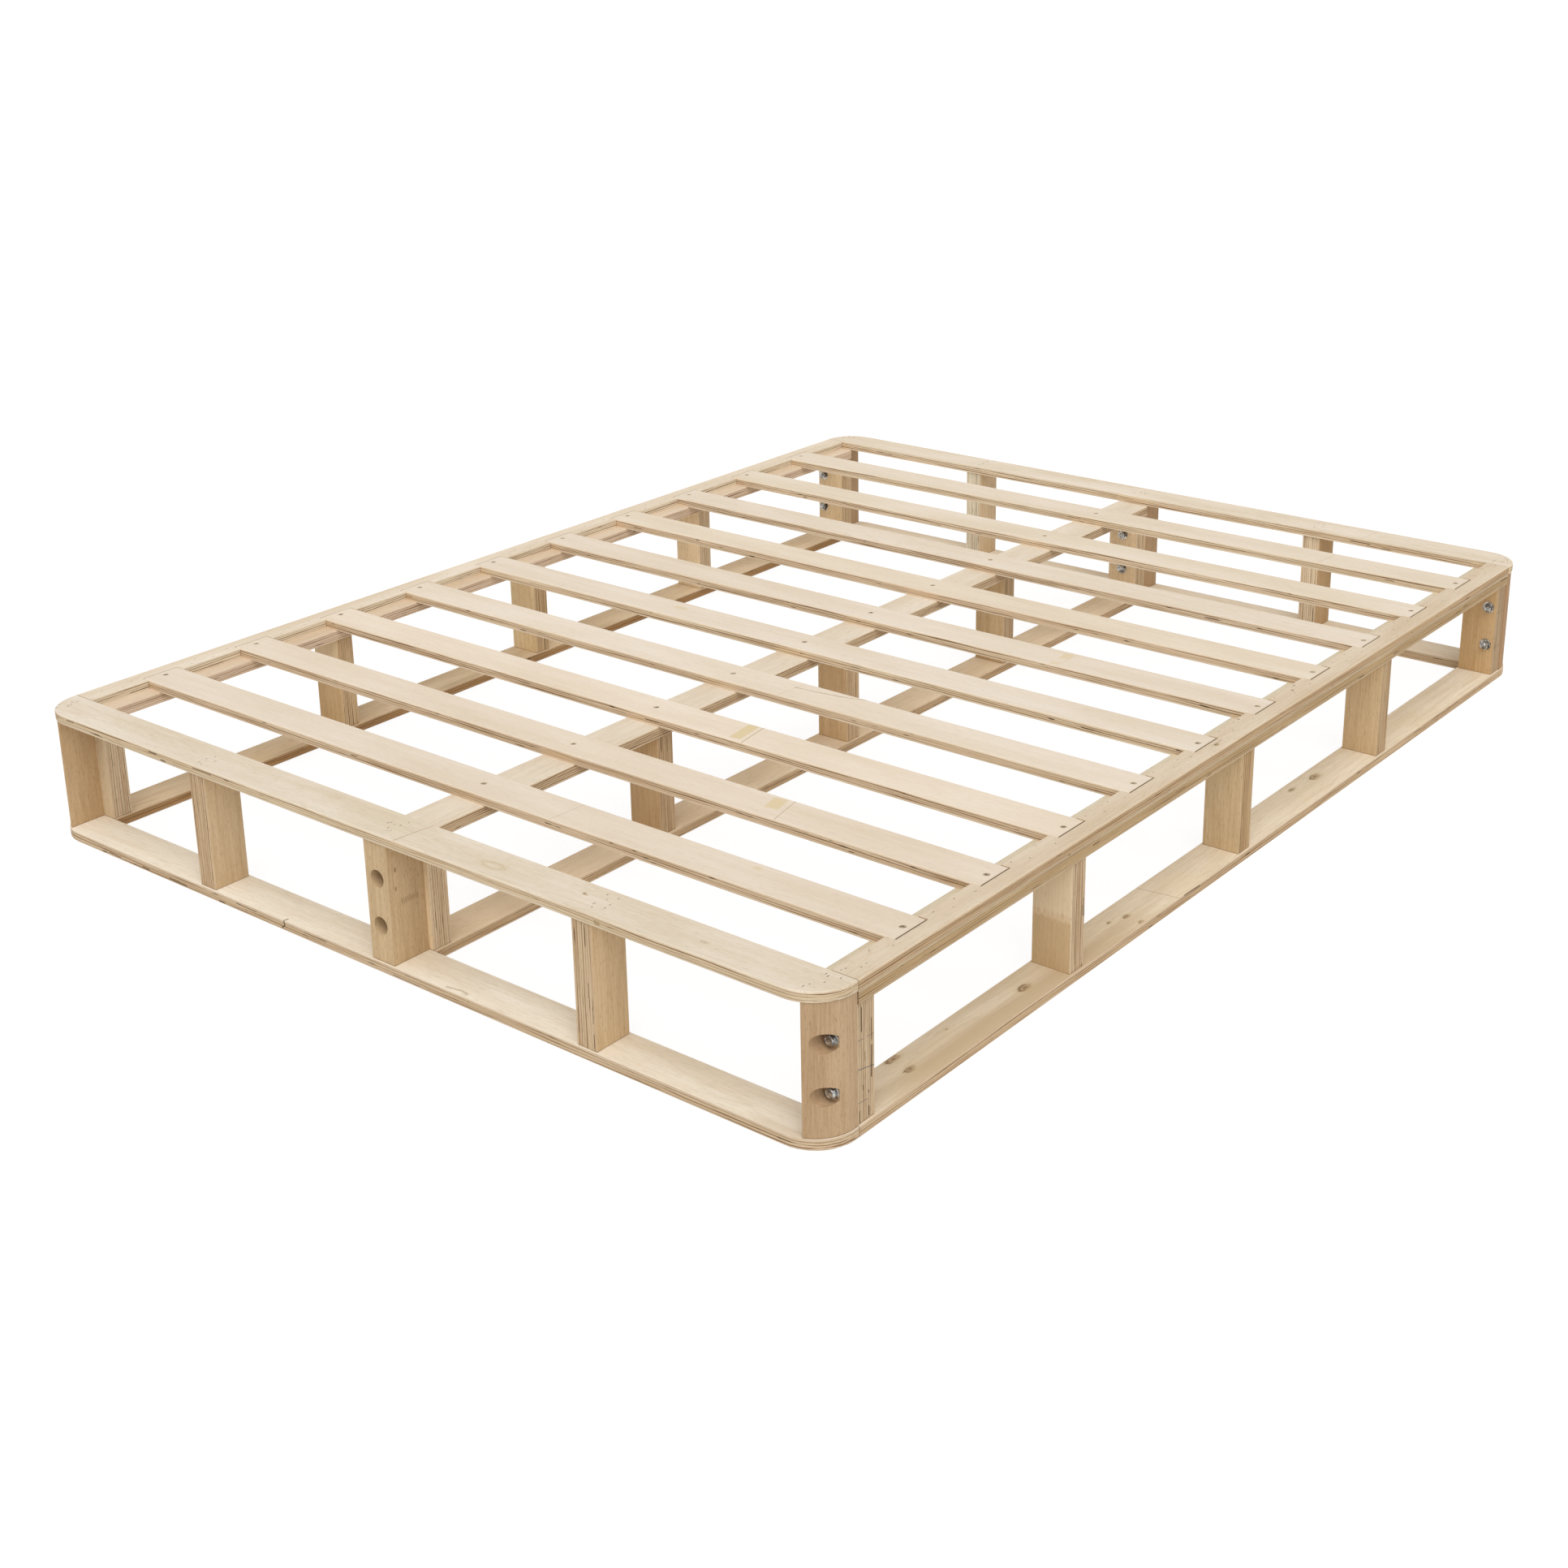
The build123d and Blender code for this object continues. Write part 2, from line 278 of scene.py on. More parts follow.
lineMarks = ("seam", "split", "pencil", "crease", "band")
boxMarks = ("patch", "pale", "ochre", "tan")
markLook = {
    "facing": (0.6, 0.85), "creaseSwing": 4, "lineRim": (0.6, 0.4, 1.2), "lineEnd": 1.0,
    "teeth": 9, "toothRim": (3.4, 1.2), "fingersEnd": (0.5, 0.48),
    "boxRagged": 0.4, "roundRagged": 1.2, "stainMiddle": (0.2, 0.9),
}
knotLook = {
    # distances from the heart as shares of the knot, and how strongly each part shows
    "cast": (2.0, 0.9), "disc": (1.0, 0.8), "ringAt": 0.85, "ring": (0.3, 0.1),
    "ringSide": (0.7, -0.7), "heart": (0.5, 0.15), "strengths": (0.5, 0.6, 0.8),
}
markColours = {
    "knot": (0.38, 0.23, 0.115), "heart": (0.19, 0.1, 0.045), "stain": (0.6, 0.48, 0.27),
    "patch": (0.7, 0.55, 0.29), "band": (0.72, 0.57, 0.31), "seam": (0.42, 0.28, 0.16),
    "cast": (0.66, 0.57, 0.38), "crease": (0.27, 0.17, 0.09), "pencil": (0.17, 0.15, 0.14),
    "split": (0.085, 0.045, 0.02), "pale": (0.82, 0.68, 0.48), "ochre": (0.55, 0.38, 0.19),
    "tan": (0.57, 0.43, 0.27), "fingers": (0.24, 0.14, 0.07),
}
boardMarks = {
    "front_top_board": [
        ("seam", "+z", (42, -1016), (50, -950), 0.7, 0.7),
        ("cast", "+z", (-30, -983), (76, 40), 0.3, 0.22),
        ("stain", "+z", (203, -989), (24, 12), 0.35, 0.8),
        ("stain", "+z", (340, -970), (22, 9), 0.6, 0.4),
        ("knot", "+z", (353.8, -975.7), (2.2, 1.6), 0.5, 0.8),
        ("split", "-y", (-487, 205.5), (-468, 205.3), 0.8, 0.9),
        ("split", "-y", (-459, 199.5), (-448, 199), 0.9, 0.95),
        ("split", "-y", (-384, 205.5), (-341, 205.3), 0.6, 0.85),
        ("split", "-y", (-690, 206), (-671, 206), 0.7, 0.8),
        ("split", "-y", (-631, 200.5), (-600, 199), 0.5, 0.8),
        ("split", "-y", (-312, 206), (-302, 206), 0.7, 0.8),
        ("knot", "+z", (356, -978), (4.5, 1.6), 0.5, 0.8),
        ("knot", "+z", (560, -985), (7, 3), 0.3, 0.25),
        ("stain", "+z", (-150, -968), (45, 6), 0.5, 0.35),
        ("knot", "-y", (412, 203), (6, 3), 0.5, 0.6),
    ],
    "slat_01": [
        ("seam", "+z", (160, -843), (165, -777), 0.5, 0.5),
        ("patch", "+z", (480.6, -791.5), (8, 5), 0.4, 0.4),
    ],
    "slat_02": [
        ("seam", "+z", (402.7, -663), (388.3, -597), 0.6, 0.6),
        ("band", "+z", (368, -603), (375.5, -636), 11, 0.65),
    ],
    "slat_03": [
        ("seam", "+z", (194.2, -483), (184.4, -417), 0.7, 0.75),
        ("band", "+z", (168, -420), (175, -474), 9.5, 0.75),
    ],
    "slat_04": [
        ("seam", "+z", (116, -303), (121, -237), 0.5, 0.3),
        ("crease", "+z", (117, -261), (157.7, -257.3), 0.7, 0.8),
        ("crease", "+z", (157.7, -257.3), (201, -250.5), 0.8, 0.8),
        ("crease", "+z", (201, -250.5), (242, -239), 0.7, 0.7),
    ],
    "slat_05": [
        ("patch", "+z", (-275, -82), (16, 6), 0.5, 0.5),
    ],
    "slat_06": [
        ("seam", "+z", (391, 118), (389, 60), 0.5, 0.25),
        ("band", "+z", (379, 114), (382, 90), 9, 0.5),
        ("band", "+z", (380, 72), (381, 60), 8, 0.4),
    ],
    "slat_10": [
        ("seam", "+z", (481, 777), (486, 843), 0.5, 0.35),
    ],
    "back_top_board": [
        ("seam", "+z", (481, 950), (486, 1016), 0.5, 0.35),
        ("stain", "+z", (-136, 1003), (26, 12), 0.6, 0.7),
    ],
    "right_bottom_board": [
        # the tan marks give the front half its darker, yellower tone; the outer one is stronger as
        # painted shade that evens out the extra light on the outer half
        ("tan", "+z", (757, -590), (34, 400), 0.55, 0.9),
        ("tan", "+z", (722, -600), (34, 380), 0.3, 0.22),
        ("knot", "+z", (731.7, -548.6), (7, 13), 0.6, 0.85),
        ("knot", "+z", (702, -801), (5.5, 14), 0.6, 0.85),
        ("knot", "+z", (731.3, -290), (4.5, 8), 0.6, 0.85),
        ("knot", "+z", (722, -322), (2.4, 4), 0.5, 0.8),
        ("knot", "+z", (756, -292), (3, 7), 0.6, 0.7),
        ("knot", "+z", (733, -807), (6, 11), 0.6, 0.8),
        ("knot", "+z", (717.8, 314.3), (6.5, 14), 0.6, 0.8),
        ("knot", "+z", (712.7, 246), (4, 9), 0.6, 0.7),
        ("knot", "+z", (712, -700), (1.2, 2.2), 0.5, 0.8),
        ("seam", "+z", (696, -204), (762, -196), 0.6, 0.7),
        ("pale", "+z", (735, -150), (40, 46), 0.7, 0.5),
        ("split", "+x", (-183, 15), (-138, 13.7), 0.8, 0.9),
    ],
    "centre_bottom_board": [
        ("knot", "+z", (6, -690), (3.5, 9), 0.5, 0.8),
    ],
    "left_bottom_board": [
        ("tan", "+z", (-702, -560), (9, 150), 0.8, 0.8),
        ("tan", "+z", (-706, -190), (12, 120), 0.8, 0.7),
        ("tan", "+z", (-704, 120), (9, 110), 0.8, 0.6),
    ],
    "left_post_1": [
        ("pale", "-y", (-729, 160), (60, 46), 0.5, 0.5),
    ],
    "right_post_1": [
        ("ochre", "-y", (729, 45), (60, 48), 0.1, 0.6),
        ("pale", "-y", (729, 146), (60, 50), 0.15, 0.45),
        ("split", "+x", (-453.4, 118), (-450.8, 90), 0.8, 0.9),
        ("split", "+x", (-455.5, 108), (-455.3, 92), 0.6, 0.85),
    ],
    "right_notched_strip": [
        ("split", "+z", (744.8, -88), (744.3, -58), 0.35, 0.8),
        ("knot", "+z", (747.7, -79.6), (3.2, 5), 0.5, 0.9),
        ("split", "+z", (733, 179.7), (736.5, 179.7), 1.4, 0.9),
        ("split", "+z", (724.5, 25.2), (727.5, 25.2), 1.2, 0.85),
        ("split", "+z", (725.7, 199), (729, 199), 1.2, 0.85),
        ("knot", "+x", (-496, 198), (4, 2), 0.4, 0.9),
    ],
    "front_bottom_board": [
        ("split", "-y", (-208, 16), (-206, 9), 1.1, 0.95),
        ("split", "-y", (-206, 9), (-213, 4), 0.9, 0.95),
        ("split", "-y", (-621, 6), (-591, 5.5), 0.6, 0.85),
        ("split", "-y", (-538, 6), (-520, 5.5), 0.7, 0.85),
        ("split", "-y", (-472, 6), (-430, 5), 0.7, 0.9),
        ("split", "-y", (-315, 11.5), (-269, 11), 0.5, 0.8),
        ("split", "-y", (-164, 11.5), (-117, 11), 0.5, 0.8),
        ("split", "-y", (20, 4.5), (73, 4), 0.5, 0.8),
        ("split", "+z", (-208, -1016), (-207, -1008), 0.9, 0.9),
        ("knot", "+z", (-60, -976), (2.5, 2), 0.5, 0.8),
        ("stain", "+z", (585, -992), (50, 14), 0.5, 0.3),
        ("tan", "+z", (690, -1008), (60, 12), 0.7, 0.4),
        ("stain", "-y", (150, 12.5), (34, 3.4), 0.6, 0.8),
        ("stain", "+z", (140, -1009), (22, 6), 0.7, 0.7),
        ("stain", "+z", (166, -1011), (18, 5), 0.7, 0.7),
        ("stain", "+z", (215, -1013), (26, 4), 0.8, 0.6),
        ("crease", "+z", (118, -1009), (142, -1006), 1.3, 0.4),
        ("crease", "+z", (140, -1004), (158, -1007), 1.5, 0.4),
        ("knot", "-y", (168, 12), (1.6, 1.2), 0.5, 0.8),
    ],
    "front_centre_block": [
        ("fingers", "+x", (-994, 106), (-961, 104), 8.5, 0.55),
        ("knot", "+x", (-999, 156), (2.2, 4), 0.5, 0.8),
        ("knot", "+x", (-1000, 128), (1.8, 3.4), 0.5, 0.8),
    ],
    "right_front_end_post": [
        ("pencil", "+x", (-950, 128), (-937, 127), 0.5, 0.8),
        ("pencil", "+x", (-930, 126.5), (-916, 125.5), 0.5, 0.7),
        ("pencil", "+x", (-950, 90), (-916, 83), 0.55, 0.9),
        ("pencil", "+x", (-950, 45), (-928, 43), 0.5, 0.7),
        ("split", "+x", (-940.3, 137), (-940.5, 170), 0.8, 0.95),
        ("split", "+x", (-937.6, 58), (-937.6, 65.5), 0.8, 0.9),
        ("split", "+x", (-926.8, 50), (-926.8, 54), 0.7, 0.8),
        ("split", "+x", (-926.6, 19), (-926.8, 33), 0.8, 0.9),
        ("split", "+x", (-921.5, 69), (-921, 112), 1.1, 0.9),
        ("split", "+x", (-921, 118), (-921.3, 148), 0.8, 0.85),
        ("split", "+x", (-945, 17), (-945, 34), 0.9, 0.85),
        ("split", "+x", (-934, 96), (-934, 108), 0.45, 0.8),
    ],
    "front_right_post": [
        ("split", "-y", (388, 90), (388, 111), 0.55, 0.8),
        ("split", "-y", (393.6, 55), (393.6, 79), 0.5, 0.75),
        ("split", "-y", (393.8, 20), (393.8, 40), 0.6, 0.8),
        ("split", "-y", (368, 33), (368, 72), 0.4, 0.7),
    ],
    "right_back_end_post": [
        ("pencil", "+x", (920, 131), (950, 129), 0.4, 0.7),
        ("pencil", "+x", (918, 66), (948, 65), 0.4, 0.7),
    ],
}


def scaled(tone, *factors):
    # a colour times its factors, kept below white
    return tuple(min(c * math.prod(f), woodTones["brightest"]) for c, *f in zip(tone, *factors))


def boardLayout(name):
    # the look of a board, its grain axis and the axis that its plies are stacked along
    first = name.split("_")[0]
    if name.endswith("_block"):
        return "block", 2, 0
    if "post" in name:
        return "post", 2, 0 if first in ("front", "back") else 1
    if first == "slat":
        return "slat", 0, 2
    return "board", 0 if first in ("front", "back") else 1, 2


class Board:
    # the finish of one board while it is being made: u runs along its grain and w through
    # its plies, in mm from its middle
    def __init__(self, name):
        self.name = name
        self.kind, self.along, self.stack = boardLayout(name)
        plain = {"shade": (1, 1, 1), "edge": (1, 1, 1)}
        self.look = {**plain, **woodLooks[self.kind], **boardLooksAndPaintedLight.get(name, {})}
        low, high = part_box(name)
        self.half = [(b - a) / 2 / mm for a, b in zip(low, high)]
        centre = [(a + b) / 2 / mm for a, b in zip(low, high)]

        self.draw = draw = random.Random(name)
        self.seed = [draw.uniform(*grain["seed"]) for _ in range(grain["seeds"])]
        lift, warmth = draw.uniform(*grain["lift"]), draw.uniform(*grain["warmth"])
        # the board's factors, which in part are painted light, with a random lift and warmth
        self.shade = [c * (lift + k * warmth) for k, c in zip((-1, 0, 1), self.look["shade"])]
        self.pale = scaled(self.look["facePale"], self.shade)

        self.f = f = Finish(bpy.data.materials.new(name))
        settings = {"operation": "MULTIPLY"}
        inMm = f.node("ShaderNodeVectorMath", settings, (f.coordinate(), (1 / mm,) * 3))
        self.world = f.parts(inMm)
        self.axes = [axis - c for axis, c in zip(self.world, centre)]
        self.u, self.w = self.axes[self.along], self.axes[self.stack]
        self.v = self.axes[3 - self.along - self.stack]
        self.facings = f.parts(f.coordinate("Normal"))

    def grainNoise(self, seed, along, across, detail):
        # noise that is long along the grain
        u = self.u * along + self.seed[seed]
        return self.f.noise(self.f.vector(u, self.v * across, self.w * across), detail)

    def chance(self, number, seed):
        # a random value for each ply or joint
        return self.f.random(number, self.seed[seed], seed + 1.0)

    def makeGrain(self):
        look, share = self.look, grain["relief"]
        self.fine = self.grainNoise(0, *grain["fine"])
        self.coarse = self.grainNoise(1, *grain["coarse"])
        tone = self.grainNoise(2, *grain["tone"])
        length, width = look["pores"]
        pores = self.grainNoise(3, 1 / length, 1 / width, grain["poreDetail"])
        self.fleck = step(pores, *grain["pore"])

        # rotary-cut figure: contour lines of a slow field
        field = self.grainNoise(4, *grain["field"])
        contours = (field * grain["contours"] + self.fine * grain["ripple"]).math("PINGPONG", 1.0)
        figure = step(abs(contours - 0.5), *grain["contour"])
        depth = 0.5 + swing(self.fine, grain["fibre"] * look["fibre"])
        depth = depth + swing(self.coarse, grain["streak"] * look["streak"])
        self.depth = depth + swing(tone, look["blotch"]) + figure * look["figure"]
        relief = self.fine * share["fine"] + self.coarse * share["coarse"]
        self.relief = relief - self.fleck * share["fleck"]

    def makeJoints(self):
        # plies along the stack axis, with wavy joints between them
        f, u, v, w, seed = self.f, self.u, self.v, self.w, self.seed
        thickness = 2 * self.half[self.stack]
        self.count = count = max(plies["fewest"], round(thickness / self.look["ply"]))
        pitch = thickness / count
        a, b, c = plies["wave"]
        wave = f.noise(f.vector(u * a + seed[5], v * b, w * c))
        level = w / pitch + count / 2 + swing(wave, plies["wander"])
        joint = level.math("ROUND")
        self.layer = level.math("FLOOR").math("MAXIMUM", 0.0).math("MINIMUM", count - 1.0)
        inner = joint.math("GREATER_THAN", 0.5) * joint.math("LESS_THAN", count - 0.5)
        gap = abs(level - joint) * pitch

        # glue lines that come and go, and are always strong at one joint
        a, b, c = plies["drift"]
        drift = f.noise(f.vector(u * a + seed[2], joint * b, v * c))
        main = joint.math("COMPARE", self.draw.choice(range(1, count)), 0.1)
        least, more = plies["lineWeight"]
        weight = self.chance(joint, 2).math("MAXIMUM", main) * more + least
        line = step(gap / (drift + plies["thinnest"]), *plies["lineWidth"]) * inner
        least = plies["faintest"]
        breaks = step(drift, *plies["lineBreaks"]) * (1 - least) + least
        self.line = line * weight * plies["line"] * breaks

        # voids where a joint is open
        b, c = plies["crack"]
        along = u / self.look["voidLength"] + seed[4]
        crack = f.noise(f.vector(along, joint * b, v * c), 1.0)
        reach = ((crack - self.look["voids"]) * plies["open"]).math("MINIMUM", plies["widest"])
        self.void = step(gap - reach, plies["voidRim"], -plies["voidRim"]) * inner

    def cutEdgeColour(self):
        f, look, layer = self.f, self.look, self.layer
        a, b, c = plies["threads"]
        across = self.w * c + layer * plies["threadStep"]
        threads = f.noise(f.vector(self.u * a + self.seed[3], self.v * b, across))
        depth = self.depth * plies["depth"] + swing(threads, plies["threadSwing"])
        depth = depth + swing(self.coarse, plies["coarseSwing"]) + plies["deepen"]
        tones = (scaled(look[key], self.shade, look["edge"]) for key in ("edgePale", "edgeDeep"))
        colour = f.blend(depth, *tones)

        # each ply has more or less of a tint, and every second one has more
        tints = (scaled(tint, look["edge"]) for tint in look["plyTints"])
        odd = (layer * 0.5).math("FRACT") * plies["tintOdd"]
        share = self.chance(layer, 1) * plies["tintByChance"] + odd
        colour = f.blend(share, colour, f.blend(self.chance(layer, 0), *tints))
        first, last = (layer.math("COMPARE", at, 0.1) for at in (0.0, self.count - 1.0))
        colour = f.blend(first.math("MAXIMUM", last) * plies["outer"], colour, self.pale)
        colour = f.blend(self.line, colour, woodTones["glue"])
        return f.blend(self.void * plies["void"], colour, woodTones["void"])

    def material(self):
        f, look, share = self.f, self.look, grain["relief"]
        self.makeGrain()
        colour = f.blend(self.depth, self.pale, scaled(look["faceDeep"], self.shade))
        relief = self.relief
        if look["ply"]:
            self.makeJoints()
            edge = step(abs(self.facings[self.stack]), *plies["facing"])
            colour = f.blend(edge, colour, self.cutEdgeColour())
            relief = relief - edge * (self.line * share["line"] + self.void * share["void"])
        colour = f.blend(self.fleck * look["flecks"], colour, woodTones["fleck"])

        # rubbed arrises, and sawn ends with a dark rim, which is partly painted shade along the
        # joins
        rim = middle(*(h - abs(a) for h, a in zip(self.half, self.axes)))
        wear = step(rim, *worn["rim"]) * step(self.coarse, *worn["patches"])
        colour = f.blend(wear * worn["strength"], colour, self.pale)
        if self.along != 0 or self.kind == "slat":
            end = step(self.half[self.along] - abs(self.u), *endRimAndJoinShade["rim"])
            colour = f.blend(end * endRimAndJoinShade["strength"], colour, woodTones["endBrownAndJoinShade"])
        for mark in boardMarks.get(self.name, ()):
            colour = self.drawMark(colour, *mark)

        rough = grain["rough"] + swing(self.fine, grain["roughSwing"]) - wear * worn["polish"]
        return f.surface(f.node("ShaderNodeBsdfPrincipled", values={
            "Base Color": colour, "Roughness": rough, "Normal": f.bump(*grain["bump"], relief),
            "Specular IOR Level": grain["specular"]}))

    def drawMark(self, colour, kind, face, place, reach, soft, strength):
        axis = "xyz".index(face[1])
        a, b = (self.world[i] for i in range(3) if i != axis)
        outward = self.facings[axis] * (1.0 if face[0] == "+" else -1.0)
        shown = step(outward, *markLook["facing"]) * strength
        if kind in lineMarks:
            shape = self.lineShape(a, b, place, reach, soft, kind == "crease")
        elif kind == "fingers":
            shape = self.fingerShape(a, b, place, reach, soft)
        else:
            p, q = (a - place[0]) / reach[0], (b - place[1]) / reach[1]
            away = self.spotRim(p, q, kind in boxMarks)
            if kind == "knot":
                return self.drawKnot(colour, away, p + q, shown)
            shape = step(away, 1.0, 1.0 - soft)
            if kind == "stain":
                shape = shape * step(away, *markLook["stainMiddle"])
        return self.f.blend(shape * shown, colour, markColours[kind])

    def lineShape(self, a, b, start, stop, half, ragged):
        # a straight line, or a crease that wanders with the fibre
        length, end = math.dist(start, stop), markLook["lineEnd"]
        du, dv = ((q - p) / length for p, q in zip(start, stop))
        run = (a - start[0]) * du + (b - start[1]) * dv
        off = (a - start[0]) * dv - (b - start[1]) * du
        if ragged:
            off = off + swing(self.fine, markLook["creaseSwing"])
        out, into, most = markLook["lineRim"]
        line = step(abs(off), half + min(half * out, most), half - min(half * into, most))
        return line * step(run, -end, end) * step(run, length + end, length - end)

    def fingerShape(self, a, b, start, stop, height):
        # the zigzag line of a finger joint
        run = (a - start[0]) / (stop[0] - start[0])
        tooth = (run * markLook["teeth"]).math("PINGPONG", 0.5) * 2
        off = abs(b - start[1] - run * (stop[1] - start[1]) - swing(tooth, height))
        return step(off, *markLook["toothRim"]) * step(abs(run - 0.5), *markLook["fingersEnd"])

    def spotRim(self, p, q, box):
        # 0 in the middle of a spot and 1 at its ragged rim
        if box:
            return abs(p).math("MAXIMUM", abs(q)) + swing(self.fine, markLook["boxRagged"])
        return (p * p + q * q).math("SQRT") + swing(self.fine, markLook["roundRagged"])

    def drawKnot(self, colour, away, lean, shown):
        # a brown cast, the knot itself, and a dark heart with a dark ring on one side
        k = knotLook
        ring = step(abs(away - k["ringAt"]), *k["ring"]) * step(lean, *k["ringSide"])
        shapes = step(away, *k["cast"]), step(away, *k["disc"]), ring + step(away, *k["heart"])
        for shape, tone, share in zip(shapes, ("stain", "knot", "heart"), k["strengths"]):
            colour = self.f.blend(shape * shown * share, colour, markColours[tone])
        return colour


# limits of the modifiers, in mm and degrees
edges = {"join": 0.01, "flat": 0.5, "sharp": 35, "segments": 2, "weight": 50}


def dress(piece, material, arris):
    # the CAD mesh stays: its corners are joined and its arrises eased by modifiers
    piece.data.materials.clear()
    piece.data.materials.append(material)
    piece.modifiers.new("join", "WELD").merge_threshold = edges["join"] * mm
    plane = piece.modifiers.new("plane", "DECIMATE")
    plane.decimate_type, plane.angle_limit = "DISSOLVE", math.radians(edges["flat"])
    ease = piece.modifiers.new("ease", "BEVEL")
    ease.width, ease.segments = arris * mm, edges["segments"]
    ease.angle_limit = math.radians(edges["sharp"])
    piece.modifiers.new("flat", "WEIGHTED_NORMAL").weight = edges["weight"]


fastenerNodes = ("slat_screws", "hex_bolts", "hex_nuts", "bolt_head_washers", "nut_washers")
for name, piece in nodes.items():
    if name not in fastenerNodes:
        board = Board(name)
        dress(piece, board.material(), board.look["arris"])
print("wood finished")


# zinc-plated fasteners

zincLook = {
    # detail and scale of each noise, where a dull cloud begins and ends, and the bump
    "spangle": (3.0, 900.0), "cloud": (2.0, 160.0), "dullFrom": (0.36, 0.62), "dullness": 0.9,
    "bump": (0.2, 0.05 * mm), "roughSwing": 0.25,
}
bed = {"top": 210, "slats": 10, "slatPitch": 180}
sharpAngle = math.radians(32)


def zincFinish(name, pale, dull, rough):
    f = Finish(bpy.data.materials.new(name))
    place = f.coordinate()
    spangle, cloud = (f.noise(place, *zincLook[key]) for key in ("spangle", "cloud"))
    colour = f.blend(step(cloud, *zincLook["dullFrom"]) * zincLook["dullness"], pale, dull)
    return f.surface(f.node("ShaderNodeBsdfPrincipled", values={
        "Base Color": colour, "Metallic": 1.0, "Normal": f.bump(*zincLook["bump"], spangle),
        "Roughness": rough + spangle * zincLook["roughSwing"]}))


def addObject(name, data):
    made = bpy.data.objects.new(name, data)
    bpy.context.scene.collection.objects.link(made)
    return made


def addPiece(name, mesh, material, replaced=()):
    piece = addObject(name, mesh)
    mesh.materials.append(material)
    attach(piece, "root")
    if replaced:
        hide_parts(*replaced)


def polar(radius, angle, z):
    return radius * math.cos(angle), radius * math.sin(angle), z


def turned(profile, angles):
    # one circle for each radius and height of a profile
    return [[polar(radius, a, z) for a in angles] for radius, z in profile]


def addRings(bm, rings, place, closed=False):
    # a skin through rings of equal length, each a list of points
    rows = [[bm.verts.new(place @ Vector(p)) for p in ring] for ring in rings]
    for lower, upper in zip(rows, rows[1:] + rows[:1] if closed else rows[1:]):
        for i in range(len(lower)):
            j = (i + 1) % len(lower)
            bm.faces.new((lower[i], lower[j], upper[j], upper[i]))
    return rows


def addSolid(bm, rings, start, end, place):
    # rings closed at both ends by a point on the axis
    rows = addRings(bm, rings, place)
    for row, z in ((rows[0], start), (rows[-1], end)):
        tip = bm.verts.new(place @ Vector((0, 0, z)))
        for i in range(len(row)):
            bm.faces.new((row[i], row[(i + 1) % len(row)], tip))


def threadRings(core, crest, low, high, pitch, angles, perTurn):
    # rings of a screw thread, from low to high, where it runs out
    count = round((high - low) / pitch * perTurn)
    rings = []
    for k in range(count + 1):
        z = low + (high - low) * k / count
        depth = (crest - core) * min(1, (high - z) / pitch)
        shares = [(z / pitch - a / (2 * math.pi)) % 1 for a in angles]
        ridges = [1 - abs(2 * share - 1) for share in shares]
        rings.append([polar(core + depth * r, a, z) for r, a in zip(ridges, angles)])
    return rings


def meshFrom(bm, name):
    # a smooth mesh with sharp corners, from a shape in mm
    bmesh.ops.recalc_face_normals(bm, faces=bm.faces)
    mesh = bpy.data.meshes.new(name)
    bm.to_mesh(mesh)
    bm.free()
    mesh.transform(Matrix.Scale(mm, 4))
    mesh.shade_smooth()
    mesh.set_sharp_from_angle(angle=sharpAngle)
    return mesh


def manyOf(addOne, places, name):
    bm = bmesh.new()
    for place in places:
        addOne(bm, place)
    return meshFrom(bm, name)


screw = {
    "head": 4.2, "rim": 0.4, "ease": (0.25, 0.2), "shank": 1.95, "core": 1.35, "length": 28,
    "tip": 4, "sink": 0.6, "pitch": 1.8, "perTurn": 4, "threadStart": 9, "x": 722.8,
    # the cross recess: its bars' half length and half width, and its outline at three depths
    "cross": (2.3, 0.55), "recess": ((0.5, -1.9), (0.94, -0.25), (1, 0)), "recessTip": -2.3,
    "corners": (0, 13.5, 24, 35, 45, 55, 66, 76.5),  # degrees, in each quarter
    "play": 0.05, "inside": 0.2,  # the shank's top is thinner than the neck and starts in it
    "pale": (0.50, 0.41, 0.30), "dull": (0.28, 0.21, 0.14), "rough": 0.4,
}


def crossRadius(angle, reach, half):
    # the outline of a cross of two bars, seen from its middle
    tiny = 1e-9
    c, s = abs(math.cos(angle)) + tiny, abs(math.sin(angle)) + tiny
    return max(min(reach / c, half / s), min(half / c, reach / s))


def addScrew(bm, place):
    s = screw
    angles = [math.radians(90 * quarter + a) for quarter in range(4) for a in s["corners"]]
    cross = [crossRadius(a, *s["cross"]) for a in angles]
    recess = [[polar(share * r, a, z) for r, a in zip(cross, angles)] for share, z in s["recess"]]
    inset, drop = s["ease"]
    neck = -s["rim"] - (s["head"] - s["shank"])
    head = [(s["head"] - inset, 0), (s["head"], -drop), (s["head"], -s["rim"]), (s["shank"], neck)]
    addSolid(bm, recess + turned(head, angles), s["recessTip"], neck, place)

    angles, start = angles[::2], neck + s["inside"]
    thread = threadRings(s["core"], s["shank"], s["tip"] - s["length"], -s["threadStart"],
                         s["pitch"], angles, s["perTurn"])
    shank = turned([(s["shank"] - s["play"], start)], angles) + thread[::-1]
    addSolid(bm, shank, start, -s["length"], place)


def screwPlaces():
    draw = random.Random("slat screws")
    for number in range(bed["slats"]):
        y = (number - (bed["slats"] - 1) / 2) * bed["slatPitch"]
        for side in (-1, 0, 1):
            turn = Matrix.Rotation(draw.uniform(0, math.pi), 4, "Z")
            at = Vector((side * screw["x"], y, bed["top"] - screw["sink"]))
            yield Matrix.Translation(at) @ turn


